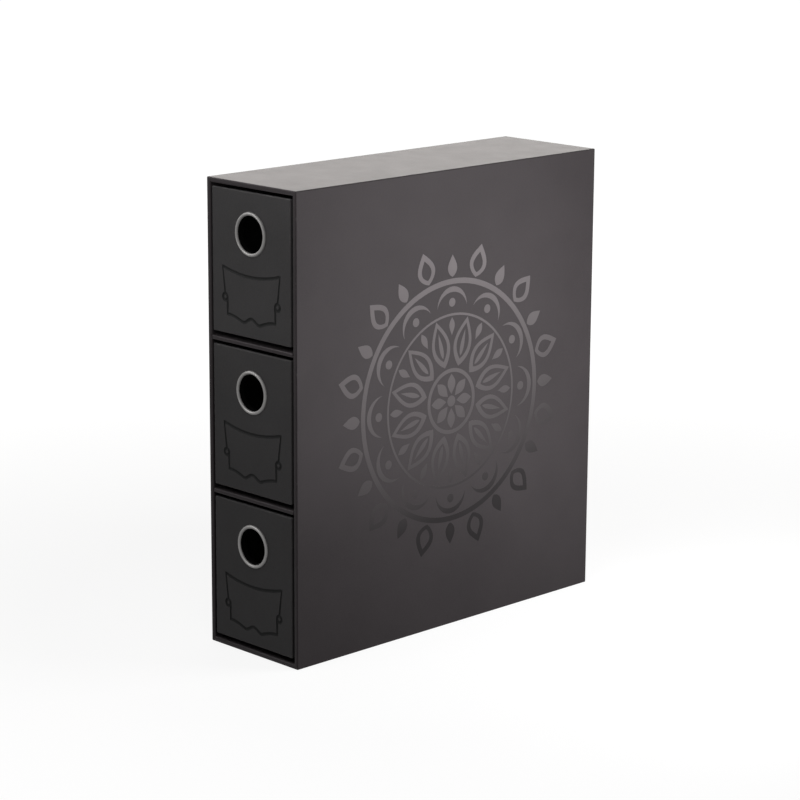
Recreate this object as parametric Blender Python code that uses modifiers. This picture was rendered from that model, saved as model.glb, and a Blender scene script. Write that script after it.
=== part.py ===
"""Upright box for trading cards: a board case with two shelves and three open-topped drawers.

Each drawer slides out of the front on the lower edges of its side boards and is pulled by a metal
finger ring. Metres, +Z up, origin at the centre of the base, drawers facing -Y.
"""

import math

import bmesh
import bpy
from mathutils import Vector

MM = 0.001

# The case: four boards folded into a tube, a back board and the shelves
CASE_WIDTH = 86.0 * MM
CASE_DEPTH = 282.0 * MM
CASE_HEIGHT = 316.0 * MM
CASE_SIDE_BOARD = 3.3 * MM
CASE_END_BOARD = 3.3 * MM
CASE_BACK_BOARD = 3.0 * MM
SHELF_BOARD = 3.0 * MM
CASE_EDGE_ROUND = 0.6 * MM
DRAWER_NAMES = ("bottom", "middle", "top")
SHELF_NAMES = ("lower_shelf", "upper_shelf")

# Gap that glued or resting boards keep between them
SEAM = 0.3 * MM

# The drawers and their running gaps
FRONT_BOARD = 2.5 * MM
WALL_BOARD = 2.0 * MM
FLOOR_BOARD = 2.0 * MM
DRAWER_SIDE_GAP = 1.8 * MM
DRAWER_REAR_GAP = 0.5 * MM
FRONT_TOP_GAP = 2.2 * MM
FRONT_BOTTOM_GAP = 3.4 * MM
WALL_DROP = 3.0 * MM
FRONT_EDGE_ROUND = 0.7 * MM
WALL_EDGE_ROUND = 0.5 * MM
TOE_LENGTH = 9.0 * MM
HEEL_RADIUS = 2.4 * MM
HEEL_POINTS = 5

# The finger ring: a sheet-metal eyelet closed over a washer behind the front board
RING_BORE_RADIUS = 12.2 * MM
RING_CROWN_WIDTH = 2.4 * MM
RING_CROWN = 1.1 * MM
RING_SHEET = 0.5 * MM
RING_CLINCH_RADIUS = 1.2 * MM
RING_FIT = 0.3 * MM
RING_DROP = 27.3 * MM
RING_ARC_STEPS = 6
RING_TURN_STEPS = 40
WASHER_SHEET = 0.8 * MM
WASHER_WIDTH = 2.4 * MM

# The label frame pressed into each front: half widths, and heights above the front's lower edge
LABEL_TOP_HALF = 27.8 * MM
LABEL_BOTTOM_HALF = 23.2 * MM
LABEL_TOP = 44.2 * MM
LABEL_SAG = 4.1 * MM
LABEL_NOTCH = 24.0 * MM
LABEL_NOTCH_RADIUS = 2.2 * MM
LABEL_FOOT = 13.0 * MM
LABEL_LOBE = 9.5 * MM
LABEL_LOBE_HALF = 8.0 * MM
LABEL_PEAK = 12.7 * MM
LABEL_LINE_RADIUS = 1.6 * MM
LABEL_PRESS_DEPTH = 0.5 * MM
LABEL_EDGE_STEPS = 12
LABEL_NOTCH_STEPS = 3

# Length by which a cutter runs past the board that it cuts
OVERRUN = 2.0 * MM

# Colour, roughness and metallic value of each finish
CASE_PAPER = ((0.034, 0.033, 0.034), 0.5, 0.0)
DRAWER_PAPER = ((0.032, 0.032, 0.033), 0.5, 0.0)
LINER_PAPER = ((0.022, 0.022, 0.023), 0.75, 0.0)
RING_NICKEL = ((0.62, 0.61, 0.6), 0.28, 1.0)
WASHER_STEEL = ((0.42, 0.42, 0.42), 0.4, 1.0)

# The origin is centred on the whole depth, which the rings' crowns add to
RING_PROUD = RING_FIT + RING_CROWN
CASE_FRONT = (RING_PROUD - CASE_DEPTH) / 2
CASE_BACK = CASE_FRONT + CASE_DEPTH

OPENING_WIDTH = CASE_WIDTH - 2 * CASE_SIDE_BOARD
BACK_BOARD_FACE = CASE_BACK - CASE_BACK_BOARD
BAY_COUNT = len(DRAWER_NAMES)
BAY_HEIGHT = (CASE_HEIGHT - 2 * CASE_END_BOARD - (BAY_COUNT - 1) * SHELF_BOARD) / BAY_COUNT

DRAWER_HALF_WIDTH = OPENING_WIDTH / 2 - DRAWER_SIDE_GAP
DRAWER_LENGTH = BACK_BOARD_FACE - DRAWER_REAR_GAP - CASE_FRONT
FRONT_HEIGHT = BAY_HEIGHT - FRONT_TOP_GAP - FRONT_BOTTOM_GAP
WALL_START = FRONT_BOARD + SEAM
WALL_TOP = FRONT_BOTTOM_GAP + FRONT_HEIGHT - WALL_DROP
WALL_FACE = DRAWER_HALF_WIDTH - WALL_BOARD
FLOOR_TOP = FRONT_BOTTOM_GAP + FLOOR_BOARD
RING_HEIGHT = FRONT_BOTTOM_GAP + FRONT_HEIGHT - RING_DROP
RING_HOLE_RADIUS = RING_BORE_RADIUS + RING_SHEET + RING_FIT


def clear_scene():
    """Removes every object, so that the model is made in an empty scene."""
    for old in list(bpy.data.objects):
        bpy.data.objects.remove(old, do_unlink=True)


def new_collection(name):
    collection = bpy.data.collections.new(name)
    bpy.context.scene.collection.children.link(collection)
    return collection


def new_material(name, finish):
    """A Principled BSDF of one colour, roughness and metallic value."""
    colour, roughness, metallic = finish
    material = bpy.data.materials.new(name)
    material.use_nodes = True
    shader = material.node_tree.nodes["Principled BSDF"]
    shader.inputs["Base Color"].default_value = (*colour, 1.0)
    shader.inputs["Roughness"].default_value = roughness
    shader.inputs["Metallic"].default_value = metallic
    material.diffuse_color = (*colour, 1.0)
    return material


def stand(piece, collection, parent, location, rotation):
    """Puts a piece in a collection, at its place on its parent."""
    collection.objects.link(piece)
    piece.parent = parent
    piece.location = location
    piece.rotation_euler = rotation


def place(piece, finish, parent=None, location=(0, 0, 0), rotation=(0, 0, 0)):
    """Adds a piece to the part, with its own material."""
    piece.data.materials.append(new_material(piece.name + "_finish", finish))
    stand(piece, PART, parent, location, rotation)
    return piece


def place_cutter(piece, parent, location, rotation):
    """Adds a cutter, which is no piece of the part."""
    stand(piece, CUTTERS, parent, location, rotation)
    piece.hide_render = True
    piece.display_type = "WIRE"


def block(low, high):
    """A box between its lowest and highest corners."""
    low, high = Vector(low), Vector(high)
    shape = bmesh.new()
    bmesh.ops.create_cube(shape, size=1.0)
    bmesh.ops.scale(shape, vec=high - low, verts=shape.verts)
    bmesh.ops.translate(shape, vec=(low + high) / 2, verts=shape.verts)
    return shape


def round_edges(shape, radius, axis, chosen):
    """Rounds the edges that run along this axis and whose middle the test accepts."""
    edges = []
    for edge in shape.edges:
        start, end = (vert.co for vert in edge.verts)
        way = (end - start).normalized()
        if abs(way[axis]) == max(map(abs, way)) and chosen((start + end) / 2):
            edges.append(edge)
    bmesh.ops.bevel(shape, geom=edges, offset=radius, segments=2, profile=0.5, affect="EDGES")


def mesh_object(name, shape):
    mesh = bpy.data.meshes.new(name)
    shape.to_mesh(mesh)
    shape.free()
    return bpy.data.objects.new(name, mesh)


def subtract(piece, cutter):
    """Cuts a piece with a live exact Boolean."""
    modifier = piece.modifiers.new(cutter.name, "BOOLEAN")
    modifier.operation = "DIFFERENCE"
    modifier.solver = "EXACT"
    modifier.object = cutter


def case_tube_board(name, quarter_turns):
    """One board of the folded tube: the top, turned about Y by quarter turns to its side of the case.

    It is made flat as the case's top: X along the girth, the outer face upwards, its ends mitred.
    """
    if quarter_turns % 2 == 0:
        girth, across, own_board, next_board = CASE_WIDTH, CASE_HEIGHT, CASE_END_BOARD, CASE_SIDE_BOARD
    else:
        girth, across, own_board, next_board = CASE_HEIGHT, CASE_WIDTH, CASE_SIDE_BOARD, CASE_END_BOARD
    outer_face = across / 2
    inner_face = outer_face - own_board
    seam_run = SEAM / 2 * math.hypot(own_board, next_board) / own_board
    half_girth = girth / 2 - seam_run
    shape = block((-half_girth, CASE_FRONT, inner_face), (half_girth, CASE_BACK, outer_face))
    for vert in shape.verts:
        if vert.co.z < outer_face - own_board / 2:
            vert.co.x -= math.copysign(next_board, vert.co.x)
    mid_depth = CASE_FRONT + CASE_DEPTH / 2
    round_edges(shape, CASE_EDGE_ROUND, 0, lambda middle: middle.y < mid_depth or middle.z > inner_face)
    turn = quarter_turns * math.pi / 2
    place(mesh_object(name, shape), CASE_PAPER, location=(0, 0, CASE_HEIGHT / 2), rotation=(0, turn, 0))


def case_back_board():
    """The back, inside the tube and flush with its rear edges."""
    half_width = OPENING_WIDTH / 2 - SEAM
    low = (-half_width, BACK_BOARD_FACE, CASE_END_BOARD + SEAM)
    high = (half_width, CASE_BACK, CASE_HEIGHT - CASE_END_BOARD - SEAM)
    place(mesh_object("case_back_panel", block(low, high)), CASE_PAPER)


def shelf(name, bay):
    """The board over this bay, from the mouth of the case to its back."""
    top = CASE_END_BOARD + (bay + 1) * (BAY_HEIGHT + SHELF_BOARD)
    half_width = OPENING_WIDTH / 2 - SEAM
    low = (-half_width, CASE_FRONT, top - SHELF_BOARD)
    high = (half_width, BACK_BOARD_FACE - SEAM, top)
    shape = block(low, high)
    round_edges(shape, CASE_EDGE_ROUND, 0, lambda middle: middle.y < CASE_FRONT + SHELF_BOARD)
    place(mesh_object(name, shape), CASE_PAPER)


def build_case():
    for quarter_turns, side in enumerate(("top", "right", "base", "left")):
        case_tube_board("case_" + side + "_panel", quarter_turns)
    case_back_board()
    for bay, name in enumerate(SHELF_NAMES):
        shelf(name, bay)


def side_outline():
    """A side board seen from the right: its length, and its height above the shelf.

    The lower edge is the runner. Its toe ramps up behind the front and its heel is rounded.
    """
    runner = SEAM
    points = [
        (WALL_START, FRONT_BOTTOM_GAP),
        (WALL_START + TOE_LENGTH, runner),
    ]
    for step in range(HEEL_POINTS):
        angle = math.pi / 2 * step / (HEEL_POINTS - 1)
        along = DRAWER_LENGTH - HEEL_RADIUS + HEEL_RADIUS * math.sin(angle)
        points.append((along, runner + HEEL_RADIUS - HEEL_RADIUS * math.cos(angle)))
    points += [
        (DRAWER_LENGTH, WALL_TOP - WALL_EDGE_ROUND),
        (DRAWER_LENGTH - WALL_EDGE_ROUND, WALL_TOP),
        (WALL_START, WALL_TOP),
    ]
    return points


def flat_outline(name, points, thickness):
    """A closed flat outline with a thickness, as a filled 2D curve centred on its own plane."""
    curve = bpy.data.curves.new(name, "CURVE")
    curve.dimensions = "2D"
    curve.fill_mode = "BOTH"
    curve.extrude = thickness / 2
    spline = curve.splines.new("POLY")
    spline.points.add(len(points) - 1)
    for point, (across, up) in zip(spline.points, points):
        point.co = (across, up, 0, 1)
    spline.use_cyclic_u = True
    return bpy.data.objects.new(name, curve)


def drawer_side(name, side, drawer):
    """A side board: its outline's X runs back and its Y up, on the left (-1) or the right (1)."""
    quarter = math.pi / 2
    across = side * (DRAWER_HALF_WIDTH - WALL_BOARD / 2)
    board = flat_outline(name, side_outline(), WALL_BOARD)
    place(board, DRAWER_PAPER, drawer, (across, 0, 0), (quarter, 0, quarter))


def brace_height(reach):
    """Height of the label frame's lower edge at this distance from its middle."""
    if reach < LABEL_LOBE_HALF:
        rise = (1 + math.cos(math.pi * reach / LABEL_LOBE_HALF)) / 2
        return LABEL_LOBE + (LABEL_PEAK - LABEL_LOBE) * rise
    share = (reach - LABEL_LOBE_HALF) / (LABEL_BOTTOM_HALF - LABEL_LOBE_HALF)
    return LABEL_LOBE + (LABEL_FOOT - LABEL_LOBE) * math.sin(math.pi / 2 * share)


def label_outline():
    """The label frame's closed outline, as X and height above the front's lower edge.

    The top edge hangs in an arc, a quarter-round notch draws each side in, and the lower edge is a brace.
    """
    top_edge = []
    brace = []
    for step in range(LABEL_EDGE_STEPS + 1):
        share = 2 * step / LABEL_EDGE_STEPS - 1
        top_edge.append((share * LABEL_TOP_HALF, LABEL_TOP - LABEL_SAG * (1 - share * share)))
        across = -share * LABEL_BOTTOM_HALF
        brace.append((across, brace_height(abs(across))))
    notch = []
    for step in range(LABEL_NOTCH_STEPS + 1):
        angle = math.pi / 2 * step / LABEL_NOTCH_STEPS
        across = LABEL_BOTTOM_HALF + LABEL_NOTCH_RADIUS * (1 - math.sin(angle))
        notch.append((across, LABEL_NOTCH + LABEL_NOTCH_RADIUS * math.cos(angle)))
    other_notch = [(-across, up) for across, up in reversed(notch)]
    return top_edge + notch + brace + other_notch


def tube_along(name, points, radius):
    """A closed tube along flat points, as a mesh object."""
    curve = bpy.data.curves.new(name, "CURVE")
    curve.dimensions = "3D"
    curve.bevel_depth = radius
    curve.bevel_resolution = 2
    spline = curve.splines.new("POLY")
    spline.points.add(len(points) - 1)
    for point, (across, up) in zip(spline.points, points):
        point.co = (across, up, 0, 1)
    spline.use_cyclic_u = True
    guide = bpy.data.objects.new(name + "_guide", curve)
    bpy.context.scene.collection.objects.link(guide)
    bpy.context.view_layer.update()
    evaluated = guide.evaluated_get(bpy.context.evaluated_depsgraph_get())
    mesh = bpy.data.meshes.new_from_object(evaluated)
    bpy.data.objects.remove(guide, do_unlink=True)
    return bpy.data.objects.new(name, mesh)


def cylinder(radius, length):
    """A closed cylinder along Z, centred on its middle."""
    shape = bmesh.new()
    bmesh.ops.create_cone(
        shape, cap_ends=True, segments=RING_TURN_STEPS, radius1=radius, radius2=radius, depth=length
    )
    return shape


def drawer_front(level, drawer):
    """The front board, with the hole for the finger ring and the pressed label frame."""
    half = DRAWER_HALF_WIDTH
    shape = block((-half, 0, FRONT_BOTTOM_GAP), (half, FRONT_BOARD, FRONT_BOTTOM_GAP + FRONT_HEIGHT))
    for axis in (0, 2):
        round_edges(shape, FRONT_EDGE_ROUND, axis, lambda middle: middle.y < FRONT_BOARD / 2)
    board = place(mesh_object(level + "_drawer_front", shape), DRAWER_PAPER, drawer)

    quarter = math.pi / 2
    hole = mesh_object(level + "_ring_hole", cylinder(RING_HOLE_RADIUS, FRONT_BOARD + 2 * OVERRUN))
    place_cutter(hole, drawer, (0, FRONT_BOARD / 2, RING_HEIGHT), (quarter, 0, 0))
    subtract(board, hole)

    groove = tube_along(level + "_label_press", label_outline(), LABEL_LINE_RADIUS)
    above_face = LABEL_LINE_RADIUS - LABEL_PRESS_DEPTH
    place_cutter(groove, drawer, (0, -above_face, FRONT_BOTTOM_GAP), (quarter, 0, 0))
    subtract(board, groove)


def drawer_floor_and_back(level, drawer):
    """The floor between the side boards, level with the front's lower edge, and the back board."""
    half = WALL_FACE - SEAM
    back_face = DRAWER_LENGTH - WALL_BOARD
    floor = block((-half, WALL_START, FRONT_BOTTOM_GAP), (half, back_face - SEAM, FLOOR_TOP))
    place(mesh_object(level + "_drawer_floor", floor), LINER_PAPER, drawer)

    back = block((-half, back_face, SEAM), (half, DRAWER_LENGTH, WALL_TOP))
    round_edges(back, WALL_EDGE_ROUND, 0, lambda middle: middle.y > back_face + WALL_BOARD / 2)
    place(mesh_object(level + "_drawer_back", back), DRAWER_PAPER, drawer)


def arc(centre, across, up, start, end):
    """Points of an elliptical arc between two angles."""
    points = []
    for step in range(RING_ARC_STEPS + 1):
        angle = start + (end - start) * step / RING_ARC_STEPS
        points.append((centre[0] + across * math.cos(angle), centre[1] + up * math.sin(angle)))
    return points


def ring_profile():
    """Radius and height of the sheet's open face, over the front's face.

    It runs from the edge clinched against the washer, up the bore and over the crown to the rim.
    """
    washer_back = -(FRONT_BOARD + RING_FIT + WASHER_SHEET)
    clinch_centre = (RING_BORE_RADIUS + RING_CLINCH_RADIUS, washer_back - RING_FIT)
    clinch = arc(clinch_centre, RING_CLINCH_RADIUS, RING_CLINCH_RADIUS, 0, -math.pi)
    half_crown = RING_CROWN_WIDTH / 2
    crown = arc((RING_BORE_RADIUS + half_crown, RING_FIT), half_crown, RING_CROWN, math.pi, 0)
    return clinch + crown


def turned(name, profile, closed):
    """A profile of radius and height turned about Z, with its outer side listed from the top down."""
    mesh = bpy.data.meshes.new(name)
    last = len(profile) - 1
    edges = [(index, index + 1) for index in range(last)]
    if closed:
        edges.append((last, 0))
    mesh.from_pydata([(radius, 0, height) for radius, height in profile], edges, [])
    piece = bpy.data.objects.new(name, mesh)
    screw = piece.modifiers.new("turn", "SCREW")
    screw.axis = "Z"
    screw.steps = RING_TURN_STEPS
    screw.render_steps = RING_TURN_STEPS
    screw.use_merge_vertices = True
    screw.merge_threshold = RING_SHEET / 100
    return piece


def finger_ring(level, drawer):
    """The eyelet, whose crown stands on the front's face and whose clinched edge holds the washer."""
    quarter = math.pi / 2
    ring = turned(level + "_finger_ring", ring_profile(), closed=False)
    sheet = ring.modifiers.new("sheet", "SOLIDIFY")
    sheet.thickness = RING_SHEET
    sheet.offset = -1.0
    sheet.use_even_offset = True
    place(ring, RING_NICKEL, drawer, (0, 0, RING_HEIGHT), (quarter, 0, 0))

    rim_radius = RING_HOLE_RADIUS + WASHER_WIDTH
    near_face = -(FRONT_BOARD + RING_FIT)
    far_face = near_face - WASHER_SHEET
    profile = [
        (rim_radius, near_face),
        (rim_radius, far_face),
        (RING_HOLE_RADIUS, far_face),
        (RING_HOLE_RADIUS, near_face),
    ]
    washer = turned(level + "_ring_washer", profile, closed=True)
    place(washer, WASHER_STEEL, drawer, (0, 0, RING_HEIGHT), (quarter, 0, 0))


def build_drawer(bay, level):
    """A drawer whose empty stands on its shelf at the mouth of the case, where its slide starts."""
    drawer = bpy.data.objects.new(level + "_drawer", None)
    PART.objects.link(drawer)
    drawer.location = (0, CASE_FRONT, CASE_END_BOARD + bay * (BAY_HEIGHT + SHELF_BOARD))
    drawer_front(level, drawer)
    drawer_side(level + "_drawer_left_side", -1, drawer)
    drawer_side(level + "_drawer_right_side", 1, drawer)
    drawer_floor_and_back(level, drawer)
    finger_ring(level, drawer)


clear_scene()
PART = new_collection("card_drawer_box")
CUTTERS = new_collection("cutters")
build_case()
for bay_index, drawer_name in enumerate(DRAWER_NAMES):
    build_drawer(bay_index, drawer_name)
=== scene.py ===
import math
from contextlib import contextmanager

import bmesh
import bpy
from bpy.props import FloatProperty, FloatVectorProperty, IntProperty, PointerProperty
from mathutils import Matrix, Vector


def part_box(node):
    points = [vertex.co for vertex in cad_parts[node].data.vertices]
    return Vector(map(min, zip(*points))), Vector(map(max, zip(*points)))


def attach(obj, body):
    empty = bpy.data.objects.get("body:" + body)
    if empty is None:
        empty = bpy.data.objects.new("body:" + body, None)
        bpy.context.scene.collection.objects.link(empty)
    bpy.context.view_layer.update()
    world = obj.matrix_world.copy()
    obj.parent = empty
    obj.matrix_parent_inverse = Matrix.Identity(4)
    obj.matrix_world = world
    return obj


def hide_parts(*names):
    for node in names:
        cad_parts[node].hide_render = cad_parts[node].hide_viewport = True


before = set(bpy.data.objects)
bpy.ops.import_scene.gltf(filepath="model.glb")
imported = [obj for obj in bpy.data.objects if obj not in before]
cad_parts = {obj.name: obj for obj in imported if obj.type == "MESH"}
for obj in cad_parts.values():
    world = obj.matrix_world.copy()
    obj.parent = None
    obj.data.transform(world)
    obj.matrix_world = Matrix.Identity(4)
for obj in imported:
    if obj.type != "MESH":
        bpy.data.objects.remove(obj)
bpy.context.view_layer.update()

bl_info = {
    "name": "Card Drawer Box Dressing",
    "version": (1, 0, 0),
    "blender": (4, 5, 0),
    "location": "View3D > Sidebar > Card Box",
    "description": "Covers a board box for trading cards in paper and sets it on a studio floor",
    "category": "Object",
}

LEVELS = ("top", "middle", "bottom")
SHELVES = ("upper_shelf", "lower_shelf")
PANEL_SIDES = ("top", "base", "left", "right", "back")
QUARTER = math.pi / 2
X, Y, Z = range(3)

# A drawer's walls: name, the axis through the board and the way inwards along it
WALLS = (("left_side", X, 1), ("right_side", X, -1), ("back", Y, -1))

# Two places closer than this are the same
TOUCH = 1e-5
# A face looks along an axis where its normal has more than this share along it
FACING = 0.9

# Folds sharper than these, in degrees, stay sharp on the boards and on the rings
BOARD_FOLD = 40.0
RING_FOLD = 50.0

# Facets round a covered edge, a heel, a ring's crown and its clinched edge
EDGE_FACETS = 3
HEEL_FACETS = 6
CROWN_FACETS = 24
CLINCH_FACETS = 6

# Length of the cutter for a finger hole, in thicknesses of its board
HOLE_CUTTER = 4

# Points along the label frame, behind an ear and round it, and how round the pressed line is
LABEL_STEPS = 48
EAR_STEPS = 6
EAR_POINTS = 32
LINE_ROUNDNESS = 6

# Points along half a leaf and along an arch, and round a circle and a bead
LEAF_STEPS = 16
ARCH_STEPS = 20
CIRCLE_POINTS = 96
BEAD_POINTS = 24

# Parts of a noise's range that are spread over the whole range of a finish
NARROW = (0.3, 0.7)
MEDIUM = (0.25, 0.75)
BROAD = (0.2, 0.8)
WHOLE = (0.0, 1.0)

# A paper's cloudy tone round one
CLOUDS = (0.9, 1.1)

# Rubbed edges: their reach, the noise that shows them, their strength and their roughness
RUB_REACH = (0.0002, 0.0014)
RUB_PATCHES = (0.56, 0.72)
RUB_STRENGTH = 0.4
RUB_ROUGHNESS = 0.3

# Depths of the reliefs in the papers, the pressed line's painted shade, the medallion's ink and the
# metals
RIPPLE_DEPTH = 0.00001
FIBRE_DEPTH = 0.00002
TOOTH_DEPTH = 0.00003
LINE_SPECK_DEPTH = 0.000006
FILM_DEPTH = 0.000008
SCRATCH_DEPTH = 0.000008
MOTTLE_DEPTH = 0.00001

# Index of refraction of the dark colour in the pressed line, which is painted shade
LINE_SHADE_GLOSS_INDEX = 1.12
# How much smoother than the laminate the medallion's ink can be
INK_SHINE = 0.04
# Gloss of the inside of a ring, whose near-black colour is painted shade
BARREL_GLOSS = 0.02
# Steps of the scratches' noise for each radian round a ring
SCRATCH_TURN = 3.0

# Each lamp's place from the middle of the case, and its width and height
LAMPS = {
    "over_lamp": (Vector((0.1, -0.36, 0.3)), (0.4, 0.3)),
    "ring_lamp": (Vector((-0.45, -0.6, 0.5)), (0.2, 0.2)),
    "side_card": (Vector((0.293, 0.188, 0.032)), (0.258, 0.371)),
    "back_card": (Vector((-1.2, 1.2, 0.5)), (1.6, 0.8)),
}

# Distances from the floor's middle between which it turns wholly white
FLOOR_FADE = (0.25, 0.9)


def length(name, description, default):
    """A size that a user can change, in metres."""
    return FloatProperty(
        name=name, description=description, default=default, precision=5, unit="LENGTH"
    )


def share(name, description, default):
    return FloatProperty(
        name=name, description=description, default=default, min=0.0, max=1.0, subtype="FACTOR"
    )


def amount(name, description, default):
    return FloatProperty(name=name, description=description, default=default, min=0.0)


def angle(name, description, degrees):
    return FloatProperty(
        name=name, description=description, default=math.radians(degrees), subtype="ANGLE"
    )


def colour(name, description, default):
    return FloatVectorProperty(
        name=name, description=description, default=default,
        size=3, min=0.0, max=1.0, subtype="COLOR",
    )


class CardBoxCase(bpy.types.PropertyGroup):
    """Sizes and colours of the covered case."""

    corner_round: length("Corner round", "Radius of the paper over the outer corners", 0.0007)
    mouth_round: length("Mouth round", "Radius of the paper over the mouth's edges", 0.0009)
    turn_in: length("Turn-in", "How far the covering paper runs into the mouth", 0.016)
    paper: length("Paper", "Thickness of the paper, seen at its cut edges", 0.00014)
    back_margin: length("Back margin", "Margin round the sheet that closes the back", 0.0025)
    # The case's paper also covers the drawers; the drawers get a lighter colour of it, which is
    # painted light.
    cover_colour: colour("Cover", "Colour of the covering paper", (0.0297, 0.026, 0.0274))
    liner_colour: colour("Liner", "Colour of the lining paper", (0.011, 0.011, 0.0115))
    rub_colour: colour("Rubbed edge", "Colour of the paper's rubbed edges", (0.12, 0.115, 0.11))
    gloss_colour: colour("Gloss", "Tint of the laminate's gloss", (1.0, 0.87, 0.92))
    gloss_index: amount("Gloss index", "Index of refraction of the laminate", 1.2)
    gloss_spread: share("Gloss spread", "Roughness of the laminate", 0.38)


class CardBoxDrawer(bpy.types.PropertyGroup):
    """Sizes and colours of the covered drawers and of the label frame in their fronts."""

    front_round: length("Front round", "Radius of the paper over a front's edges", 0.0007)
    wall_round: length("Wall round", "Radius of the paper over a wall's edges", 0.0005)
    turn_in: length("Turn-in", "How far the paper runs down inside a drawer's walls", 0.012)
    toe_length: length("Toe", "Length of the ramp at the front of each runner", 0.009)
    heel_radius: length("Heel", "Radius at the rear of each runner", 0.0024)
    label_top_half: length("Label top", "Half width of the frame's upper edge", 0.0278)
    label_bottom_half: length("Label bottom", "Half width of the frame's lower edge", 0.0232)
    label_top: length("Label height", "Height of the frame's upper corners", 0.0442)
    label_sag: length("Label sag", "How far the upper edge hangs in the middle", 0.0041)
    label_ear: length("Ear height", "Height of the rings at the frame's sides", 0.024)
    label_ear_radius: length("Ear radius", "Radius of the rings at the frame's sides", 0.0022)
    label_foot: length("Label foot", "Height of the frame's lower corners", 0.013)
    label_lobe: length("Lobe height", "Height of the lower edge's two lowest points", 0.0095)
    label_lobe_half: length("Lobe reach", "Distance of these points from the middle", 0.008)
    label_peak: length("Peak height", "Height of the lower edge at the middle", 0.0127)
    line_radius: length("Line radius", "Radius of the tool that pressed the line", 0.0016)
    line_depth: length("Line depth", "Depth of the pressed line", 0.0005)
    # Painted light: the drawers are covered in the case's paper, and this colour is lighter than
    # the case's to stand in for light that the drawer fronts lack.
    cover_colour: colour("Cover", "Colour of the covering paper", (0.0435, 0.0417, 0.0423))
    # Painted shade: the pressed line gets a darker colour than the paper round it, standing in for
    # the shade in its groove.
    line_painted_shade_colour: colour("Line", "Colour of the ink in the pressed line", (0.023, 0.023, 0.023))
    gloss_colour: colour("Gloss", "Tint of the laminate's gloss", (1.0, 1.0, 1.0))
    gloss_index: amount("Gloss index", "Index of refraction of the laminate", 1.16)
    gloss_spread: share("Gloss spread", "Roughness of the laminate", 0.38)


class CardBoxRing(bpy.types.PropertyGroup):
    """Sizes and finishes of the finger rings."""

    crown_width: length("Crown width", "Width of the rounded rim round the finger hole", 0.0024)
    sheet: length("Sheet", "Thickness of the ring's sheet metal", 0.0005)
    clinch: length("Clinch", "Radius of the edge turned back behind the washer", 0.0012)
    segments: IntProperty(name="Segments", description="Facets round a ring", default=128, min=24)
    nickel_colour: colour("Nickel", "Colour of the plated crown", (0.195, 0.19, 0.187))
    nickel_roughness: share("Nickel roughness", "Roughness of the plated crown", 0.55)
    nickel_scratch: length("Nickel scratches", "Spacing of the crown's scratches", 0.00012)
    # Painted shade: the barrel is near black to stand in for the shade inside the finger hole.
    barrel_painted_shade_colour: colour("Barrel", "Colour of the black barrel", (0.0012, 0.0012, 0.0012))
    washer_colour: colour("Washer", "Colour of the washer's zinc plating", (0.5, 0.5, 0.5))
    washer_roughness: share("Washer roughness", "Roughness of the washer's plating", 0.38)
    washer_scratch: length("Washer scratches", "Spacing of the washer's scratches", 0.0004)


class CardBoxMedallion(bpy.types.PropertyGroup):
    """Sizes and colours of the ornament printed on the right side. Its ink's fade from grey to
    black is a painted reflection.
    """

    radius: length("Radius", "Reach of the outer leaves", 0.108)
    film: length("Film", "Thickness of the ink", 0.00005)
    rays: IntProperty(name="Rays", description="Large leaves in each round", default=12, min=4)
    # Painted reflection: the ink runs from light grey at the top to near black at the foot,
    # standing in for a gloss that mirrors bright surroundings above and dark ones below.
    painted_highlight_colour: colour("High colour", "Ink where its fade starts", (0.1676, 0.152, 0.156))
    painted_shade_colour: colour("Low colour", "Ink where its fade ends", (0.0044, 0.004, 0.0041))
    painted_fade_start: share("Fade start", "Height on the ornament where the fade starts", 1.0)
    painted_fade_end: share("Fade end", "Height on the ornament where the fade ends", 0.14)
    painted_fade_lean: share("Fade lean", "How far the fade leans towards the fronts", 0.22)


class CardBoxStage(bpy.types.PropertyGroup):
    """The camera, the lamps and the floor."""

    azimuth: angle("Azimuth", "How far to the right of the fronts the camera stands", 45.54)
    elevation: angle("Elevation", "How far above the horizon the camera stands", 13.476)
    roll: angle("Roll", "How far the camera is turned about its own axis", 0.297)
    distance: length("Distance", "From the camera to the base's middle, along the view", 1.879)
    aside: length("Aside", "How far right of the picture's middle the base lies", 0.00378)
    below: length("Below", "How far below the picture's middle the base lies", 0.147)
    lens: amount("Lens", "Focal length in millimetres on a 36 mm sensor", 120.7)
    floor_size: length("Floor size", "Width of the floor", 12.0)
    floor_colour: colour("Floor", "Colour of the floor", (0.2, 0.2, 0.2))
    floor_white: share("Floor white", "White that the camera sees added to the floor", 0.86)
    ambient: amount("Ambient", "Strength of the world's light", 0.12)
    over_power: amount("Lamp above", "Watts of the lamp over the fronts", 0.9)
    ring_power: amount("Ring lamp", "Watts of the upper left lamp that the rings mirror", 4.0)
    side_power: amount("Side card", "Watts of the lit card at the right", 1.5)
    back_power: amount("Back card", "Watts of the lit card behind the box", 7.5)
    back_colour: colour("Back card colour", "Colour of the card behind", (1.0, 0.94, 0.89))


def case_box():
    """Lowest and highest corner of the case."""
    top_low, top_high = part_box("case_top_panel")
    low = Vector((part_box("case_left_panel")[0].x, top_low.y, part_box("case_base_panel")[0].z))
    high = Vector((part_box("case_right_panel")[1].x, top_high.y, top_high.z))
    return low, high


def case_room():
    """Lowest and highest corner of the space between the case's boards."""
    top_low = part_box("case_top_panel")[0]
    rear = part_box("case_back_panel")[0].y
    low = Vector((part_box("case_left_panel")[1].x, top_low.y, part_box("case_base_panel")[1].z))
    high = Vector((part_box("case_right_panel")[0].x, rear, top_low.z))
    return low, high


# Modelling

def make_active(piece):
    bpy.ops.object.select_all(action="DESELECT")
    piece.select_set(True)
    bpy.context.view_layer.objects.active = piece


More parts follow.
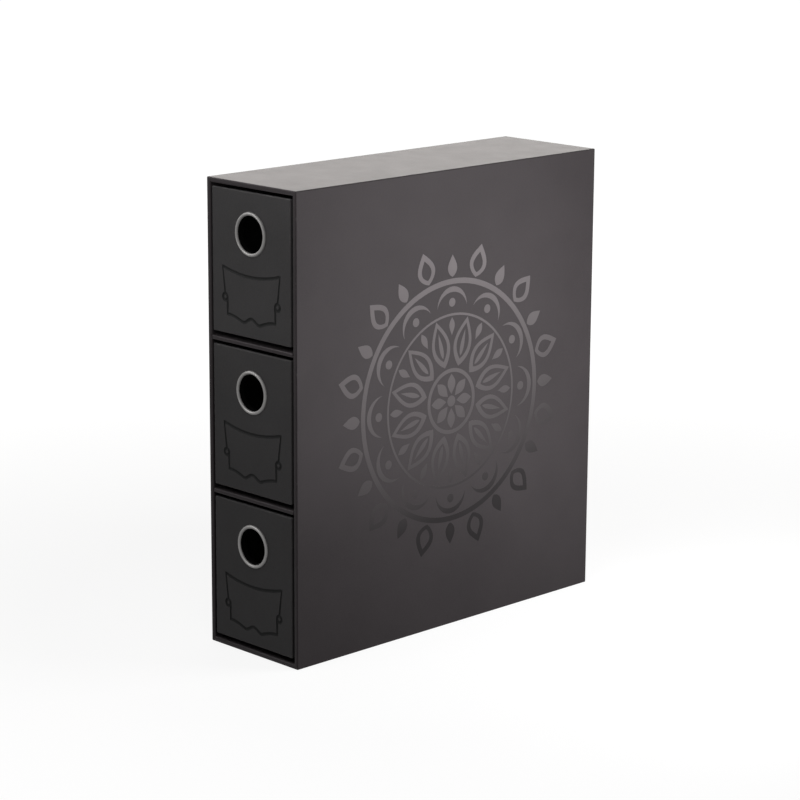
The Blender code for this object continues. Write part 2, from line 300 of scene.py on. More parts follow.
@contextmanager
def editing(piece):
    """Edit mode on one piece."""
    make_active(piece)
    bpy.ops.object.mode_set(mode="EDIT")
    yield
    bpy.ops.object.mode_set(mode="OBJECT")


def name_new(name):
    """Names the primitive just added and puts its place into its mesh."""
    piece = bpy.context.object
    piece.name = name
    piece.data.name = name
    bpy.ops.object.transform_apply(location=True, rotation=True, scale=True)
    return piece


def add_box(name, low, high):
    bpy.ops.mesh.primitive_cube_add(size=1.0, location=(low + high) / 2, scale=high - low)
    return name_new(name)


def pick(piece, kind, accepts):
    """In edit mode, selects the faces or edges that the test accepts and nothing else."""
    bpy.ops.mesh.select_mode(type=kind)
    bpy.ops.mesh.select_all(action="DESELECT")
    shape = bmesh.from_edit_mesh(piece.data)
    for part in shape.faces if kind == "FACE" else shape.edges:
        if accepts(part):
            part.select_set(True)
    bmesh.update_edit_mesh(piece.data)


def extrude(offset):
    bpy.ops.mesh.extrude_region_move(TRANSFORM_OT_translate={"value": offset})


def resize(factors, centre):
    bpy.ops.transform.resize(value=factors, center_override=centre)


def round_picked(radius, facets=EDGE_FACETS):
    bpy.ops.mesh.bevel(offset=radius, segments=facets, profile=0.5, affect="EDGES")


def looks(face, axis, way):
    """Whether a face looks along an axis, forwards (1) or backwards (-1)."""
    return face.normal[axis] * way > FACING


def all_at(edge, axis, place):
    """Whether both ends of an edge lie at a place along an axis."""
    return all(abs(vert.co[axis] - place) < TOUCH for vert in edge.verts)


def on_frame(edge, low, high):
    """Whether an edge is one of the twelve of a box."""
    sides = [all_at(edge, axis, low[axis]) or all_at(edge, axis, high[axis]) for axis in (X, Y, Z)]
    return sum(sides) >= 2


def round_frame(piece, radius, low, high, axis=None, place=0.0):
    """Rounds the edges of a box, or only those at a place along an axis."""
    pick(
        piece, "EDGE",
        lambda edge: on_frame(edge, low, high) and (axis is None or all_at(edge, axis, place)),
    )
    round_picked(radius)


def apply_modifier(piece, kind, **settings):
    """Adds a modifier, sets it and applies it."""
    make_active(piece)
    modifier = piece.modifiers.new(kind.lower(), kind)
    for key, value in settings.items():
        setattr(modifier, key, value)
    bpy.ops.object.modifier_apply(modifier=modifier.name)


def cut(piece, cutter):
    """Cuts a piece and removes the cutter, which may run through itself at its corners."""
    apply_modifier(
        piece, "BOOLEAN", operation="DIFFERENCE", solver="EXACT", use_self=True, object=cutter
    )
    bpy.data.objects.remove(cutter, do_unlink=True)


def smooth(piece, fold=BOARD_FOLD):
    """Smooth shading that keeps flat boards flat between their rounded edges."""
    make_active(piece)
    bpy.ops.object.shade_smooth_by_angle(angle=math.radians(fold))
    apply_modifier(piece, "WEIGHTED_NORMAL", keep_sharp=True, weight=100)


def new_curve(name, outlines):
    """A curve object of closed straight-sided outlines in its own XY plane."""
    curve = bpy.data.curves.new(name, "CURVE")
    for outline in outlines:
        spline = curve.splines.new("POLY")
        spline.points.add(len(outline) - 1)
        for point, (across, up) in zip(spline.points, outline):
            point.co = (across, up, 0, 1)
        spline.use_cyclic_u = True
    made = bpy.data.objects.new(name, curve)
    bpy.context.scene.collection.objects.link(made)
    return made


def as_mesh(made, location, rotation):
    """Makes a curve a mesh, then puts its place into it."""
    make_active(made)
    bpy.ops.object.convert(target="MESH")
    made.location = location
    made.rotation_euler = rotation
    bpy.ops.object.transform_apply(location=True, rotation=True, scale=True)
    return made


def two_finishes(piece, main, other, takes_other):
    """Gives a piece its main material, and another to the faces that the test accepts."""
    piece.data.materials.append(main)
    piece.data.materials.append(other)
    for face in piece.data.polygons:
        if takes_other(face):
            face.material_index = 1


def refinish(solid, material):
    """Gives a solid of the frame a better material."""
    solid.data.materials.clear()
    solid.data.materials.append(material)


def seat(piece, body, slot, *nodes):
    """Attaches a finished piece to its body and hides the solids that it stands for."""
    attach(piece, body)
    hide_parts(*nodes)


# Materials

def add_node(tree, kind, settings=None, **sockets):
    """Adds a shader node, sets it, and fills its sockets with values or other nodes' outputs."""
    node = tree.nodes.new("ShaderNode" + kind)
    for key, value in (settings or {}).items():
        setattr(node, key, value)
    for key, value in sockets.items():
        fill(tree, node.inputs[key.replace("_", " ")], value)
    return node


def fill(tree, socket, value):
    if isinstance(value, bpy.types.NodeSocket):
        tree.links.new(value, socket)
    else:
        socket.default_value = value


def maths(tree, operation, *values, kind="Math"):
    """The output of a node that works something out."""
    node = add_node(tree, kind, {"operation": operation})
    for socket, value in zip(node.inputs, values):
        fill(tree, socket, value)
    return node.outputs[0]


def vector_maths(tree, operation, *values):
    return maths(tree, operation, *values, kind="VectorMath")


def add(tree, first, second):
    return maths(tree, "ADD", first, second)


def multiply(tree, first, second):
    return maths(tree, "MULTIPLY", first, second)


def tinted(tree, base, shade):
    """A colour made lighter or darker by a shade round one."""
    return vector_maths(tree, "MULTIPLY", tuple(base), shade)


def spread(tree, value, given, wanted):
    """A value mapped from one range to another, and kept inside it."""
    return add_node(
        tree, "MapRange", Value=value,
        From_Min=given[0], From_Max=given[1], To_Min=wanted[0], To_Max=wanted[1],
    ).outputs[0]


def mix_colours(tree, factor, first, second):
    node = add_node(tree, "Mix", {"data_type": "RGBA"})
    fill(tree, node.inputs[0], factor)
    for socket, value in ((node.inputs[6], first), (node.inputs[7], second)):
        fill(tree, socket, value if isinstance(value, bpy.types.NodeSocket) else (*value, 1.0))
    return node.outputs[2]


def noise(tree, place, grain, detail=4.0, roughness=0.55):
    """Noise whose lumps are about one grain across, in metres."""
    return add_node(
        tree, "TexNoise", Vector=place, Scale=1.0 / grain, Detail=detail, Roughness=roughness
    ).outputs["Fac"]


def bump(tree, height, depth, under=None):
    """A bump of a real depth in metres, over another bump or none."""
    node = add_node(tree, "Bump", Height=height, Strength=1.0, Distance=depth)
    if under:
        tree.links.new(under, node.inputs["Normal"])
    return node.outputs["Normal"]


def new_material(name):
    """A material, its node tree, its Principled shader and its Object coordinates."""
    material = bpy.data.materials.new(name)
    material.use_nodes = True
    tree = material.node_tree
    shader = tree.nodes["Principled BSDF"]
    place = add_node(tree, "TexCoord").outputs["Object"]
    return material, tree, shader, place


def set_look(tree, shader, tone, roughness, relief):
    for name, value in (("Base Color", tone), ("Roughness", roughness), ("Normal", relief)):
        fill(tree, shader.inputs[name], value)


def set_gloss(shader, look):
    """Gives a shader the gloss of the laminate over the case or the drawers."""
    shader.inputs["IOR"].default_value = look.gloss_index
    shader.inputs["Specular Tint"].default_value = (*look.gloss_colour, 1.0)


def edge_distance(tree, place, low, high):
    """Distance from a point on a box's surface to the nearest of the box's edges."""
    middle, half = (low + high) / 2, (high - low) / 2
    from_middle = vector_maths(tree, "ABSOLUTE", vector_maths(tree, "SUBTRACT", place, middle))
    inward = vector_maths(tree, "SUBTRACT", tuple(half), from_middle)
    a, b, c = add_node(tree, "SeparateXYZ", Vector=inward).outputs
    least = maths(tree, "MINIMUM", maths(tree, "MINIMUM", a, b), c)
    most = maths(tree, "MAXIMUM", maths(tree, "MAXIMUM", a, b), c)
    total = add(tree, add(tree, a, b), c)
    return maths(tree, "SUBTRACT", maths(tree, "SUBTRACT", total, least), most)


def paper_shade(tree, cloud, fibre, contrast):
    """A paper's shade round one: its clouds, and its fibres of some contrast."""
    fibres = spread(tree, fibre, BROAD, (-contrast, contrast))
    return add(tree, spread(tree, cloud, NARROW, CLOUDS), fibres)


def covering_paper(name, look, low, high):
    """Black paper under a fine matte laminate, with faint rubs along its board's edges."""
    material, tree, shader, place = new_material(name)
    fibre = noise(tree, place, grain=0.0007, detail=5.0)
    cloud = noise(tree, place, grain=0.055, detail=3.0)
    smudge = noise(tree, place, grain=0.016, roughness=0.65)
    scuff = noise(tree, place, grain=0.004, detail=6.0, roughness=0.7)
    ripple = noise(tree, place, grain=0.05, detail=1.0)

    near_edge = spread(tree, edge_distance(tree, place, low, high), RUB_REACH, (1.0, 0.0))
    patches = spread(tree, scuff, RUB_PATCHES, WHOLE)
    rubbed = multiply(tree, multiply(tree, near_edge, patches), RUB_STRENGTH)
    clean = tinted(tree, look.cover_colour, paper_shade(tree, cloud, fibre, contrast=0.13))
    tone = mix_colours(tree, rubbed, clean, bpy.context.scene.card_box_case.rub_colour)

    smudges = spread(tree, smudge, NARROW, (-0.015, 0.015))
    dull = add(tree, smudges, spread(tree, fibre, BROAD, (-0.02, 0.02)))
    sheen = add(tree, dull, look.gloss_spread)
    roughness = add(tree, sheen, multiply(tree, rubbed, RUB_ROUGHNESS))
    relief = bump(tree, fibre, FIBRE_DEPTH, bump(tree, ripple, RIPPLE_DEPTH))
    set_look(tree, shader, tone, roughness, relief)
    set_gloss(shader, look)
    return material


def line_painted_shade(name, base):
    """A dark colour laid in a pressed line, with darker specks: painted shade for the shade in the
    groove.
    """
    material, tree, shader, place = new_material(name)
    speck = noise(tree, place, grain=0.0008)
    tone = mix_colours(tree, speck, [0.6 * part for part in base], base)
    roughness = spread(tree, speck, MEDIUM, (0.5, 0.65))
    set_look(tree, shader, tone, roughness, bump(tree, speck, LINE_SPECK_DEPTH))
    shader.inputs["IOR"].default_value = LINE_SHADE_GLOSS_INDEX
    return material


def lining_paper(name, base):
    """Uncoated black paper with a visible tooth."""
    material, tree, shader, place = new_material(name)
    fibre = noise(tree, place, grain=0.0009, detail=6.0, roughness=0.65)
    cloud = noise(tree, place, grain=0.03, detail=3.0)
    tone = tinted(tree, base, paper_shade(tree, cloud, fibre, contrast=0.15))
    roughness = spread(tree, fibre, BROAD, (0.78, 0.92))
    set_look(tree, shader, tone, roughness, bump(tree, fibre, TOOTH_DEPTH))
    return material


def round_hole(tree, place, centre):
    """Distance from a hole's axis along Y, and the angle round it."""
    offset = vector_maths(tree, "SUBTRACT", place, tuple(centre))
    across, _, up = add_node(tree, "SeparateXYZ", Vector=offset).outputs
    squares = add(tree, maths(tree, "POWER", across, 2.0), maths(tree, "POWER", up, 2.0))
    return maths(tree, "SQRT", squares), maths(tree, "ARCTAN2", up, across)


def plated_metal(name, base, centre, roughness, scratch):
    """Satin plating with fine scratches that run round the ring."""
    material, tree, shader, place = new_material(name)
    radius, turn = round_hole(tree, place, centre)
    across, along = multiply(tree, radius, 1 / scratch), multiply(tree, turn, SCRATCH_TURN)
    lathe = add_node(tree, "CombineXYZ", X=across, Y=along).outputs[0]
    lines = noise(tree, lathe, grain=1.0, detail=5.0, roughness=0.6)
    dull = noise(tree, place, grain=0.004)
    tone = tinted(tree, base, spread(tree, dull, MEDIUM, (0.9, 1.06)))
    worn = spread(tree, dull, BROAD, (-0.03, 0.05))
    shine = add(tree, spread(tree, lines, MEDIUM, (-0.06, 0.08)), worn)
    set_look(tree, shader, tone, add(tree, shine, roughness), bump(tree, lines, SCRATCH_DEPTH))
    shader.inputs["Metallic"].default_value = 1.0
    return material


def painted_shade_metal(name, base):
    """The dull inside of a ring, given a near-black colour that is painted shade for the dark hole.
    """
    material, tree, shader, place = new_material(name)
    mottle = noise(tree, place, grain=0.001)
    tone = mix_colours(tree, mottle, base, [2 * part for part in base])
    roughness = spread(tree, mottle, BROAD, (0.7, 0.85))
    set_look(tree, shader, tone, roughness, bump(tree, mottle, MOTTLE_DEPTH))
    shader.inputs["Specular IOR Level"].default_value = BARREL_GLOSS
    return material


def ink_with_painted_reflection(name, sizes, foot, top, look):
    """Printed ink under the laminate, grey at the upper front and fading to black at the lower
    rear: this fade is a painted reflection.
    """
    material, tree, shader, place = new_material(name)
    _, back, up = add_node(tree, "SeparateXYZ", Vector=place).outputs
    height = maths(tree, "SUBTRACT", up, multiply(tree, back, sizes.painted_fade_lean))
    fade = spread(tree, height, (foot, top), WHOLE)
    speck = spread(tree, noise(tree, place, grain=0.0005, detail=3.0), BROAD, (0.93, 1.07))
    cloud = spread(tree, noise(tree, place, grain=0.02, detail=2.0), NARROW, (0.95, 1.05))
    # Painted reflection: the colour runs from a light grey at the top to near black at the foot.
    tone = mix_colours(tree, fade, sizes.painted_shade_colour, sizes.painted_highlight_colour)
    mottled = vector_maths(tree, "MULTIPLY", tone, multiply(tree, speck, cloud))
    smudge = noise(tree, place, grain=0.01, detail=3.0)
    gloss_range = (look.gloss_spread - INK_SHINE, look.gloss_spread)
    roughness = spread(tree, smudge, MEDIUM, gloss_range)
    set_look(tree, shader, mottled, roughness, bump(tree, speck, FILM_DEPTH))
    set_gloss(shader, look)
    return material


# Pieces

class CARDBOX_OT_case_cover(bpy.types.Operator):
    """Covers the case: its outside, the rim of its mouth and its lined inside in one skin"""

    bl_idname = "cardbox.case_cover"
    bl_label = "Case cover"

    def execute(self, context):
        sizes = context.scene.card_box_case
        low, high = case_box()
        room = case_room()
        cover = add_box("case_cover", low, high)
        with editing(cover):
            self.open_mouth(cover, sizes, low, high, *room)
            self.close_back(cover, sizes, high)
            round_frame(cover, sizes.corner_round, low, high)
            round_frame(cover, sizes.mouth_round, *room, Y, low.y)
        smooth(cover)
        two_finishes(
            cover,
            covering_paper("case_paper", sizes, low, high),
            lining_paper("case_lining", sizes.liner_colour),
            lambda face: self.lined(face.center, sizes, low.y + sizes.turn_in, *room),
        )
        panels = ["case_" + side + "_panel" for side in PANEL_SIDES]
        seat(cover, "case", "case_paper", *panels)
        return {"FINISHED"}

    def open_mouth(self, cover, sizes, low, high, room_low, room_high):
        """Draws the front face in to the mouth and back to the rear, past the turned-in paper."""
        mouth = room_high - room_low
        size = high - low
        front_middle = Vector(((low.x + high.x) / 2, low.y, (low.z + high.z) / 2))
        pick(cover, "FACE", lambda face: looks(face, Y, -1))
        extrude((0, 0, 0))
        resize((mouth.x / size.x, 1, mouth.z / size.z), front_middle)
        extrude((0, sizes.turn_in, 0))
        extrude((0, 0, 0))
        wider, taller = ((mouth[axis] + 2 * sizes.paper) / mouth[axis] for axis in (X, Z))
        resize((wider, 1, taller), front_middle)
        extrude((0, room_high.y - low.y - sizes.turn_in, 0))

    def close_back(self, cover, sizes, high):
        """Raises the sheet that closes the back by the paper's thickness."""
        rear = high.y - TOUCH
        pick(
            cover, "FACE",
            lambda face: looks(face, Y, 1) and face.calc_center_median().y > rear,
        )
        bpy.ops.mesh.inset(thickness=sizes.back_margin)
        extrude((0, sizes.paper, 0))

    def lined(self, place, sizes, start, room_low, room_high):
        """Whether a face's middle lies inside the case, behind the turned-in paper."""
        slack = 2 * sizes.paper
        inside = all(
            room_low[axis] - slack <= place[axis] <= room_high[axis] + slack for axis in (X, Z)
        )
        return inside and start - TOUCH < place.y < room_high.y + TOUCH


class CARDBOX_OT_shelves(bpy.types.Operator):
    """Covers the shelves, whose paper wraps their front edge and ends a little way in"""

    bl_idname = "cardbox.shelves"
    bl_label = "Shelves"

    def execute(self, context):
        sizes = context.scene.card_box_case
        case = case_box()
        for node in SHELVES:
            low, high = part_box(node)
            wrapped = Vector((high.x, low.y + sizes.turn_in, high.z))
            board = add_box(node + "_cover", low, wrapped)
            thickness = high.z - low.z
            with editing(board):
                pick(board, "FACE", lambda face: looks(face, Y, 1))
                extrude((0, 0, 0))
                resize((1, 1, (thickness - 2 * sizes.paper) / thickness), (low + high) / 2)
                extrude((0, high.y - wrapped.y, 0))
                round_frame(board, sizes.mouth_round, low, high, Y, low.y)
            smooth(board)
            two_finishes(
                board,
                covering_paper(node + "_paper", sizes, *case),
                lining_paper(node + "_lining", sizes.liner_colour),
                lambda face: face.center.y > wrapped.y - TOUCH,
            )
            seat(board, "case", "case_paper", node)
        return {"FINISHED"}


def label_outline(sizes):
    """The label frame: a hanging upper edge, sides that step in behind the ears, and a brace."""
    upper, lower = [], []
    for step in range(LABEL_STEPS + 1):
        along = 2 * step / LABEL_STEPS - 1
        hang = sizes.label_sag * (1 - along * along)
        upper.append((along * sizes.label_top_half, sizes.label_top - hang))
        across = -along * sizes.label_bottom_half
        lower.append((across, brace_height(abs(across), sizes)))
    side = []
    for step in range(EAR_STEPS + 1):
        turn = QUARTER * step / EAR_STEPS
        across = sizes.label_bottom_half + sizes.label_ear_radius * (1 - math.sin(turn))
        side.append((across, sizes.label_ear + sizes.label_ear_radius * math.cos(turn)))
    return upper + side + lower + mirrored(side)


def brace_height(across, sizes):
    """Height of the lower edge at a distance from the middle."""
    lobe, lobe_half = sizes.label_lobe, sizes.label_lobe_half
    if across < lobe_half:
        rise = (1 + math.cos(math.pi * across / lobe_half)) / 2
        return lobe + (sizes.label_peak - lobe) * rise
    out = (across - lobe_half) / (sizes.label_bottom_half - lobe_half)
    return lobe + (sizes.label_foot - lobe) * math.sin(QUARTER * out)


def mirrored(outline):
    return [(-across, up) for across, up in reversed(outline)]


def turned(outline, turn):
    cos, sin = math.cos(turn), math.sin(turn)
    return [(x * cos - y * sin, x * sin + y * cos) for x, y in outline]


def circle(turn, reach, radius, points=CIRCLE_POINTS):
    """A round outline, at a reach from the middle along a ray."""
    outline = []
    for step in range(points):
        swing = 2 * math.pi * step / points
        outline.append((reach + radius * math.cos(swing), radius * math.sin(swing)))
    return turned(outline, turn)


class CARDBOX_OT_drawer_fronts(bpy.types.Operator):
    """Covers the drawers' fronts, with the ring's hole cut and the label frame pressed in"""

    bl_idname = "cardbox.drawer_fronts"
    bl_label = "Drawer fronts"

    def execute(self, context):
        sizes = context.scene.card_box_drawer
        for level in LEVELS:
            node = level + "_drawer_front"
            low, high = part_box(node)
            board = add_box(level + "_front_cover", low, high)
            with editing(board):
                round_frame(board, sizes.front_round, low, high)
            self.cut_hole(board, level, low, high)
            self.press_label(board, low, sizes)
            smooth(board)
            two_finishes(
                board,
                covering_paper(level + "_front_paper", sizes, low, high),
                # The pressed line's darker colour is painted shade
                line_painted_shade(level + "_line_painted_shade", sizes.line_painted_shade_colour),
                lambda face: self.in_line(face, low, sizes),
            )
            seat(board, level + "_drawer", "drawer_paper", node)
        return {"FINISHED"}

    def in_line(self, face, low, sizes):
        """Whether a face belongs to the pressed line."""
        margin = 2 * sizes.line_radius + sizes.label_ear_radius
        pressed = TOUCH / 2 < face.center.y - low.y < sizes.line_depth + TOUCH
        beside = abs(face.center.x) < sizes.label_top_half + margin
        return pressed and beside and margin < face.center.z - low.z < sizes.label_top + margin

    def cut_hole(self, board, level, low, high):
        """The hole runs clear of the ring's barrel and stays under its crown and washer."""
        rings = bpy.context.scene.card_box_ring
        ring_low, ring_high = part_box(level + "_finger_ring")
        centre = (ring_low + ring_high) / 2
        radius = (ring_high.x - ring_low.x) / 2 - rings.crown_width + rings.sheet + TOUCH
        bpy.ops.mesh.primitive_cylinder_add(
            vertices=rings.segments, radius=radius, depth=HOLE_CUTTER * (high.y - low.y),
            location=(centre.x, low.y, centre.z), rotation=(QUARTER, 0, 0),
        )
        cut(board, name_new(level + "_hole_cutter"))

    def press_label(self, board, low, sizes):
        """Presses the label frame and then its two ears into the front."""
        radius = sizes.label_ear_radius
        reach = sizes.label_bottom_half + radius
        ear = [
            (reach + across, sizes.label_ear + up)
            for across, up in circle(0.0, 0.0, radius, EAR_POINTS)
        ]
        above_face = sizes.line_radius - sizes.line_depth
        for outline in (label_outline(sizes), ear, mirrored(ear)):
            line = new_curve("label_line", [outline])
            line.data.dimensions = "3D"
            line.data.bevel_depth = sizes.line_radius
            line.data.bevel_resolution = LINE_ROUNDNESS
            cut(board, as_mesh(line, (0, low.y - above_face, low.z), (QUARTER, 0, 0)))


class CARDBOX_OT_drawer_walls(bpy.types.Operator):
    """Covers the drawers' side and back boards, whose paper wraps their upper edge"""

    bl_idname = "cardbox.drawer_walls"
    bl_label = "Drawer walls"

    def execute(self, context):
        for level in LEVELS:
            for wall in WALLS:
                self.cover_wall(level, *wall)
        return {"FINISHED"}

    def cover_wall(self, level, place, axis, inward):
        """Covers one wall, lines its inner face and shapes the runner under a side."""
        sizes = bpy.context.scene.card_box_drawer
        case = bpy.context.scene.card_box_case
        node = level + "_drawer_" + place
        low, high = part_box(node)
        name = level + "_" + place + "_cover"
        wall = self.wall(name, low, high, axis, inward, case.paper, sizes)
        if axis == X:
            self.shape_runner(wall, low, high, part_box(level + "_drawer_front")[0].z, sizes)
        smooth(wall)
        inner = (high if inward > 0 else low)[axis] - inward * case.paper
        slack = case.paper / 2
        two_finishes(
            wall,
            covering_paper(node + "_paper", sizes, low, high),
            lining_paper(node + "_lining", case.liner_colour),
            lambda face: looks(face, axis, inward) and abs(face.center[axis] - inner) < slack,
        )
        seat(wall, level + "_drawer", "drawer_paper", node)

    def wall(self, name, low, high, axis, inward, paper, sizes):
        """A board whose inner face steps back by the paper below the turned-in strip."""
        strip_low = Vector((low.x, low.y, high.z - sizes.turn_in))
        board = add_box(name, strip_low, high)
        thickness = high[axis] - low[axis]
        factors = [1, 1, 1]
        factors[axis] = (thickness - paper) / thickness
        outer = low if inward > 0 else high
        with editing(board):
            pick(board, "FACE", lambda face: looks(face, Z, -1))
            extrude((0, 0, 0))
            resize(factors, outer)
            extrude((0, 0, low.z - strip_low.z))
            round_frame(board, sizes.wall_round, low, high, Z, high.z)
        return board

    def shape_runner(self, wall, low, high, front_foot, sizes):
        """Ramps the runner's toe up behind the front and rounds its heel."""
        with editing(wall):
            bpy.ops.mesh.select_all(action="SELECT")
            toe = Vector((0, -(front_foot - low.z), -sizes.toe_length)).normalized()
            bpy.ops.mesh.bisect(
                plane_co=(low.x, low.y, front_foot), plane_no=toe, use_fill=True, clear_outer=True
            )
            pick(wall, "EDGE", lambda edge: all_at(edge, Y, high.y) and all_at(edge, Z, low.z))
            round_picked(sizes.heel_radius, HEEL_FACETS)


class CARDBOX_OT_drawer_floors(bpy.types.Operator):
    """Lines the drawers' floors"""

    bl_idname = "cardbox.drawer_floors"
    bl_label = "Drawer floors"

    def execute(self, context):
        paper = lining_paper("floor_lining", context.scene.card_box_case.liner_colour)
        for level in LEVELS:
            refinish(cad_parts[level + "_drawer_floor"], paper)
        return {"FINISHED"}


class CARDBOX_OT_finger_rings(bpy.types.Operator):
    """Makes the finger rings, with a nickel crown and a barrel whose black is painted shade, and
    plates their washers
    """

    bl_idname = "cardbox.finger_rings"
    bl_label = "Finger rings"

    def execute(self, context):
        sizes = context.scene.card_box_ring
        for level in LEVELS:
            low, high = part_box(level + "_finger_ring")
            front_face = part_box(level + "_drawer_front")[0].y
            centre = (low + high) / 2
            centre.y = front_face
            ring = self.ring(level, centre, (high.x - low.x) / 2, front_face - low.y, sizes)
            barrel_start = front_face + sizes.sheet / 4
            nickel = plated_metal(
                level + "_ring_nickel", sizes.nickel_colour, centre,
                sizes.nickel_roughness, sizes.nickel_scratch,
            )
            # The barrel's near-black colour is painted shade
            two_finishes(
                ring, nickel, painted_shade_metal(level + "_ring_painted_shade", sizes.barrel_painted_shade_colour),
                lambda face: face.center.y > barrel_start,
            )
            seat(ring, level + "_drawer", "ring_nickel", level + "_finger_ring")
            zinc = plated_metal(
                level + "_washer_zinc", sizes.washer_colour, centre,
                sizes.washer_roughness, sizes.washer_scratch,
            )
            refinish(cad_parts[level + "_ring_washer"], zinc)
        return {"FINISHED"}

    def ring(self, level, centre, rim_radius, crown_height, sizes):
        """A torus flattened and halved, its inner edge drawn through the board and turned back."""
        half_crown = sizes.crown_width / 2
        crown_middle = rim_radius - half_crown
        bpy.ops.mesh.primitive_torus_add(
            major_radius=crown_middle, minor_radius=half_crown,
            major_segments=sizes.segments, minor_segments=CROWN_FACETS,
        )
        bpy.context.object.scale.z = crown_height / half_crown
        bpy.context.object.rotation_euler.x = QUARTER
        bpy.context.object.location = centre
        ring = name_new(level + "_ring")
        clinch_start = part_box(level + "_ring_washer")[1].y + sizes.sheet / 2
        with editing(ring):
            bpy.ops.mesh.select_all(action="SELECT")
            bpy.ops.mesh.bisect(plane_co=centre, plane_no=(0, 1, 0), clear_outer=True)
            pick(
                ring, "EDGE",
                lambda edge: edge.is_boundary and self.reach(edge, centre) < crown_middle,
            )
            extrude((0, clinch_start - centre.y, 0))
            self.turn_back(centre, rim_radius - sizes.crown_width, sizes.clinch)
            bpy.ops.mesh.select_all(action="SELECT")
            bpy.ops.mesh.normals_make_consistent(inside=False)
        apply_modifier(
            ring, "SOLIDIFY", thickness=sizes.sheet, offset=-1.0, use_even_offset=True
        )
        smooth(ring, RING_FOLD)
        return ring

    def turn_back(self, centre, bore, clinch):
        """Rolls the barrel's rear edge outwards in half a circle behind the washer."""
        last_radius, last_drop = bore, 0.0
        for step in range(1, CLINCH_FACETS + 1):
            turn = math.pi * step / CLINCH_FACETS
            radius = bore + clinch * (1 - math.cos(turn))
            drop = clinch * math.sin(turn)
            extrude((0, drop - last_drop, 0))
            resize((radius / last_radius, 1, radius / last_radius), centre)
            last_radius, last_drop = radius, drop

    def reach(self, edge, centre):
        """Distance from the ring's axis to an edge's first end."""
        point = edge.verts[0].co - centre
        return math.hypot(point.x, point.z)


def leaf(turn, inner, outer, half_width, fullness):
    """A pointed leaf on a ray from the middle. A fullness under 1 moves its widest place inward."""
    side = []
    for step in range(LEAF_STEPS + 1):
        along = step / LEAF_STEPS
        width = half_width * math.sin(math.pi * along ** fullness)
        side.append((inner + (outer - inner) * along, width))
    return turned(side[:-1] + [(reach, -width) for reach, width in reversed(side[1:])], turn)


def arch(turn, reach, radius, thickness):
    """An arch open towards the middle, thick at its crown and pointed at its feet."""
    outer, inner = [], []
    for step in range(ARCH_STEPS + 1):
        swing = math.pi * (step / ARCH_STEPS - 0.5)
        outer.append((reach + radius * math.cos(swing), radius * math.sin(swing)))
        thin = thickness * math.cos(swing)
        inner.append((reach + (radius - thin) * math.cos(swing), (radius - thin) * math.sin(swing)))
    return turned(outer + list(reversed(inner[1:-1])), turn)


# The medallion's sizes are shares of its radius. First the edges of its bands
BAND_EDGES = (0.78, 0.745, 0.56, 0.545, 0.21, 0.185, 0.035)

# The shapes in one step of the round, on its ray or between two, with a leaf's fullness or a
# bead's points
ON_RAY = 0.5
BETWEEN = 0.0
STEP_SHAPES = (
    (leaf, ON_RAY, (0.79, 1.0, 0.075), 0.8),
    (leaf, ON_RAY, (0.82, 0.95, 0.042), 0.8),
    (leaf, BETWEEN, (0.79, 0.93, 0.04), 0.75),
    (arch, BETWEEN, (0.6, 0.13, 0.035)),
    (circle, BETWEEN, (0.63, 0.028), BEAD_POINTS),
    (leaf, ON_RAY, (0.225, 0.54, 0.078), 0.85),
    (leaf, ON_RAY, (0.27, 0.5, 0.052), 0.85),
    (leaf, ON_RAY, (0.29, 0.46, 0.016), 0.7),
    (leaf, BETWEEN, (0.42, 0.535, 0.024), 1.2),
)

# A petal round the middle, and its fullness
PETAL = ((0.045, 0.175, 0.034), 1.1)


def medallion_outlines(radius, rays):
    """The medallion's closed outlines. One inside another is a cut-out in it."""

    def scaled(shape, turn, shares, *more):
        return shape(turn, *(radius * part for part in shares), *more)

    outlines = [scaled(circle, 0.0, (0.0, edge)) for edge in BAND_EDGES]
    step = 2 * math.pi / rays
    for index in range(rays):
        for shape, offset, *sizes in STEP_SHAPES:
            outlines.append(scaled(shape, index * step + offset * step, *sizes))
    petals = rays * 2 // 3
    for index in range(petals):
        outlines.append(scaled(leaf, 2 * math.pi * index / petals, *PETAL))
    return outlines


class CARDBOX_OT_medallion(bpy.types.Operator):
    """Prints a round leaf ornament on the right side of the case, in ink whose fade from grey to
    black is a painted reflection
    """

    bl_idname = "cardbox.medallion"
    bl_label = "Side medallion"

    def execute(self, context):
        sizes = context.scene.card_box_medallion
        low, high = case_box()
        shape = new_curve("side_medallion", medallion_outlines(sizes.radius, sizes.rays))
        shape.data.dimensions = "2D"
        shape.data.fill_mode = "BOTH"
        shape.data.extrude = sizes.film / 2
        # A quarter of the film sinks into the paper
        middle = (high.x + sizes.film / 4, (low.y + high.y) / 2, (low.z + high.z) / 2)
        piece = as_mesh(shape, middle, (QUARTER, 0, QUARTER))
        apply_modifier(piece, "WELD", merge_threshold=sizes.film / 10)
        # Heights between which the ink's painted reflection fades
        lowest = middle[Z] - sizes.radius
        foot = lowest + 2 * sizes.radius * sizes.painted_fade_end
        top = lowest + 2 * sizes.radius * sizes.painted_fade_start
        ink = ink_with_painted_reflection("medallion_painted_reflection_ink", sizes, foot, top, context.scene.card_box_case)
        piece.data.materials.append(ink)
        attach(piece, "case")
        return {"FINISHED"}


